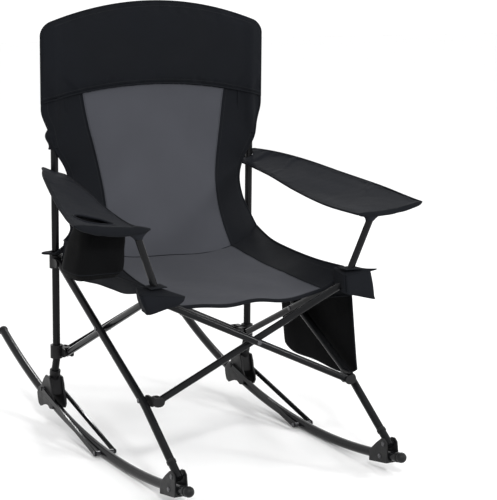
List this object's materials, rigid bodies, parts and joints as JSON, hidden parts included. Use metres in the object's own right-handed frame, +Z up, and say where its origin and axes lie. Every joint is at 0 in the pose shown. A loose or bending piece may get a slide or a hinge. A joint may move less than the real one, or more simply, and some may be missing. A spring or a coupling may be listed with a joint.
{
  "type": "folding camp rocking chair",
  "caption": "Folding camp chair with a fabric sling on a scissor frame, curved tube rockers, padded armrests, a cup holder and a side pocket.",
  "frame": {"origin": "on the ground, below the middle of the chair's bounding box", "axes": "+Z up, -Y forward (the way the sitter faces), +X to the sitter's left"},
  "size_m": [0.8708, 1.1101, 1.0172],
  "materials": {
    "powder_coat": "satin black powder coat",
    "black_plastic": "fine-grained black nylon",
    "bright_rivet": "plated steel",
    "black_cloth": "coated woven polyester, black",
    "grey_cloth": "coated woven polyester, grey",
    "arm_cloth": "coated woven polyester, charcoal"
  },
  "bodies": {
    "right_post": {"rear_post_right": "powder_coat", "post_top_cap_right": "black_plastic", "rear_lower_hub_right": "black_plastic", "rear_foot_clip_right": "black_plastic", "foot_clip_pin_right": "bright_rivet", "back_panel": "grey_cloth", "seat_panel": "grey_cloth", "head_panel": "black_cloth", "post_sleeve_right": "black_cloth", "armrest_right": "arm_cloth", "cup_holder": "black_cloth"},
    "left_post": {"post_sleeve_left": "black_cloth", "armrest_left": "arm_cloth", "side_pocket": "black_cloth", "rear_post_left": "powder_coat", "post_top_cap_left": "black_plastic", "rear_lower_hub_left": "black_plastic", "rear_foot_clip_left": "black_plastic", "foot_clip_pin_left": "bright_rivet"},
    "back_tube_a": {"back_cross_tube_a": "powder_coat", "back_cross_rivet": "bright_rivet"},
    "back_tube_b": {"back_cross_tube_b": "powder_coat"},
    "left_slider": {"rear_slider_hub_left": "black_plastic"},
    "right_slider": {"rear_slider_hub_right": "black_plastic"},
    "side_tube_right": {"side_cross_tube_right": "powder_coat", "side_cross_rivet_right": "bright_rivet"},
    "leg_right": {"front_leg_right": "powder_coat"},
    "knuckle_right": {"knuckle_bracket_right": "black_plastic", "knuckle_bolt_right": "bright_rivet"},
    "front_hub_right": {"front_upper_hub_right": "black_plastic", "arm_post_right": "powder_coat"},
    "rocker_right": {"rocker_tube_right": "powder_coat", "rocker_front_ball_right": "black_plastic", "rocker_rear_cap_right": "black_plastic", "rocker_bracket_right": "black_plastic", "rocker_bracket_rivet_right": "bright_rivet", "leg_foot_pin_right": "bright_rivet", "rocker_link_pin_right": "bright_rivet"},
    "links_right": {"link_bar_inner_right": "powder_coat", "link_bar_outer_right": "powder_coat"},
    "side_tube_left": {"side_cross_tube_left": "powder_coat", "side_cross_rivet_left": "bright_rivet"},
    "leg_left": {"front_leg_left": "powder_coat"},
    "knuckle_left": {"knuckle_bracket_left": "black_plastic", "knuckle_bolt_left": "bright_rivet"},
    "front_hub_left": {"front_upper_hub_left": "black_plastic", "arm_post_left": "powder_coat"},
    "rocker_left": {"rocker_tube_left": "powder_coat", "rocker_front_ball_left": "black_plastic", "rocker_rear_cap_left": "black_plastic", "rocker_bracket_left": "black_plastic", "rocker_bracket_rivet_left": "bright_rivet", "leg_foot_pin_left": "bright_rivet", "rocker_link_pin_left": "bright_rivet"},
    "links_left": {"link_bar_inner_left": "powder_coat", "link_bar_outer_left": "powder_coat"},
    "front_tube_a": {"front_cross_tube_a": "powder_coat", "front_cross_rivet": "bright_rivet"},
    "front_tube_b": {"front_cross_tube_b": "powder_coat"}
  },
  "joints": [
    {"name": "fold", "type": "hinge", "parent": "right_post", "child": "back_tube_a", "pos_m": [-0.232, 0.18015, 0.18519], "axis": [0, -1, 0], "range_deg": [0, 55], "deforming": ["back_panel", "seat_panel", "head_panel", "armrest_right", "armrest_left", "cup_holder", "side_pocket"]},
    {"name": "left_slider_turn", "type": "hinge", "parent": "back_tube_a", "child": "left_slider", "pos_m": [0.232, 0.18015, 0.40519], "axis": [0, -1, 0], "range_deg": [-55, 0]},
    {"name": "back_scissor", "type": "hinge", "parent": "back_tube_a", "child": "back_tube_b", "pos_m": [0, 0.19815, 0.29519], "axis": [0, -1, 0], "range_deg": [-110, 0]},
    {"name": "left_post_turn", "type": "hinge", "parent": "back_tube_b", "child": "left_post", "pos_m": [0.232, 0.19815, 0.18519], "axis": [0, -1, 0], "range_deg": [0, 55]},
    {"name": "right_slider_turn", "type": "hinge", "parent": "back_tube_b", "child": "right_slider", "pos_m": [-0.232, 0.19815, 0.40519], "axis": [0, -1, 0], "range_deg": [0, 55]},
    {"name": "side_tube_right_turn", "type": "hinge", "parent": "right_post", "child": "side_tube_right", "pos_m": [-0.242, 0.15015, 0.18519], "axis": [-1, 0, 0], "range_deg": [0, 55]},
    {"name": "side_scissor_right", "type": "hinge", "parent": "side_tube_right", "child": "leg_right", "pos_m": [-0.26, -0.08185, 0.29519], "axis": [-1, 0, 0], "range_deg": [-110, 0]},
    {"name": "knuckle_right_turn", "type": "hinge", "parent": "leg_right", "child": "knuckle_right", "pos_m": [-0.26, -0.31385, 0.18519], "axis": [-1, 0, 0], "range_deg": [0, 55]},
    {"name": "front_hub_right_turn", "type": "hinge", "parent": "side_tube_right", "child": "front_hub_right", "pos_m": [-0.242, -0.31385, 0.40519], "axis": [-1, 0, 0], "range_deg": [-55, 0]},
    {"name": "rocker_right_turn", "type": "hinge", "parent": "leg_right", "child": "rocker_right", "pos_m": [-0.26, -0.48985, 0.06719], "axis": [-1, 0, 0], "range_deg": [0, 72.5]},
    {"name": "links_right_turn", "type": "hinge", "parent": "rocker_right", "child": "links_right", "pos_m": [-0.26, -0.10885, 0.01127], "axis": [-1, 0, 0], "range_deg": [-128.9, 0]},
    {"name": "side_tube_left_turn", "type": "hinge", "parent": "left_post", "child": "side_tube_left", "pos_m": [0.242, 0.15015, 0.18519], "axis": [-1, 0, 0], "range_deg": [0, 55]},
    {"name": "side_scissor_left", "type": "hinge", "parent": "side_tube_left", "child": "leg_left", "pos_m": [0.26, -0.08185, 0.29519], "axis": [-1, 0, 0], "range_deg": [-110, 0]},
    {"name": "knuckle_left_turn", "type": "hinge", "parent": "leg_left", "child": "knuckle_left", "pos_m": [0.26, -0.31385, 0.18519], "axis": [-1, 0, 0], "range_deg": [0, 55]},
    {"name": "front_hub_left_turn", "type": "hinge", "parent": "side_tube_left", "child": "front_hub_left", "pos_m": [0.242, -0.31385, 0.40519], "axis": [-1, 0, 0], "range_deg": [-55, 0]},
    {"name": "rocker_left_turn", "type": "hinge", "parent": "leg_left", "child": "rocker_left", "pos_m": [0.26, -0.48985, 0.06719], "axis": [-1, 0, 0], "range_deg": [0, 72.5]},
    {"name": "links_left_turn", "type": "hinge", "parent": "rocker_left", "child": "links_left", "pos_m": [0.26, -0.10885, 0.01127], "axis": [-1, 0, 0], "range_deg": [-128.9, 0]},
    {"name": "front_tube_a_turn", "type": "hinge", "parent": "knuckle_right", "child": "front_tube_a", "pos_m": [-0.232, -0.33685, 0.18519], "axis": [0, -1, 0], "range_deg": [0, 55]},
    {"name": "front_scissor", "type": "hinge", "parent": "front_tube_a", "child": "front_tube_b", "pos_m": [0, -0.35485, 0.29519], "axis": [0, -1, 0], "range_deg": [-110, 0]}
  ],
  "couplings": [
    {"joint": "left_slider_turn", "follows": "fold", "ratio": -1},
    {"joint": "back_scissor", "follows": "fold", "ratio": -2},
    {"joint": "left_post_turn", "follows": "fold", "ratio": 1},
    {"joint": "right_slider_turn", "follows": "fold", "ratio": 1},
    {"joint": "side_tube_right_turn", "follows": "fold", "ratio": 1},
    {"joint": "side_scissor_right", "follows": "fold", "ratio": -2},
    {"joint": "knuckle_right_turn", "follows": "fold", "ratio": 1},
    {"joint": "front_hub_right_turn", "follows": "fold", "ratio": -1},
    {"joint": "rocker_right_turn", "follows": "fold", "ratio": 1.3182},
    {"joint": "links_right_turn", "follows": "fold", "ratio": -2.3436},
    {"joint": "side_tube_left_turn", "follows": "fold", "ratio": 1},
    {"joint": "side_scissor_left", "follows": "fold", "ratio": -2},
    {"joint": "knuckle_left_turn", "follows": "fold", "ratio": 1},
    {"joint": "front_hub_left_turn", "follows": "fold", "ratio": -1},
    {"joint": "rocker_left_turn", "follows": "fold", "ratio": 1.3182},
    {"joint": "links_left_turn", "follows": "fold", "ratio": -2.3436},
    {"joint": "front_tube_a_turn", "follows": "fold", "ratio": 1},
    {"joint": "front_scissor", "follows": "fold", "ratio": -2}
  ]
}
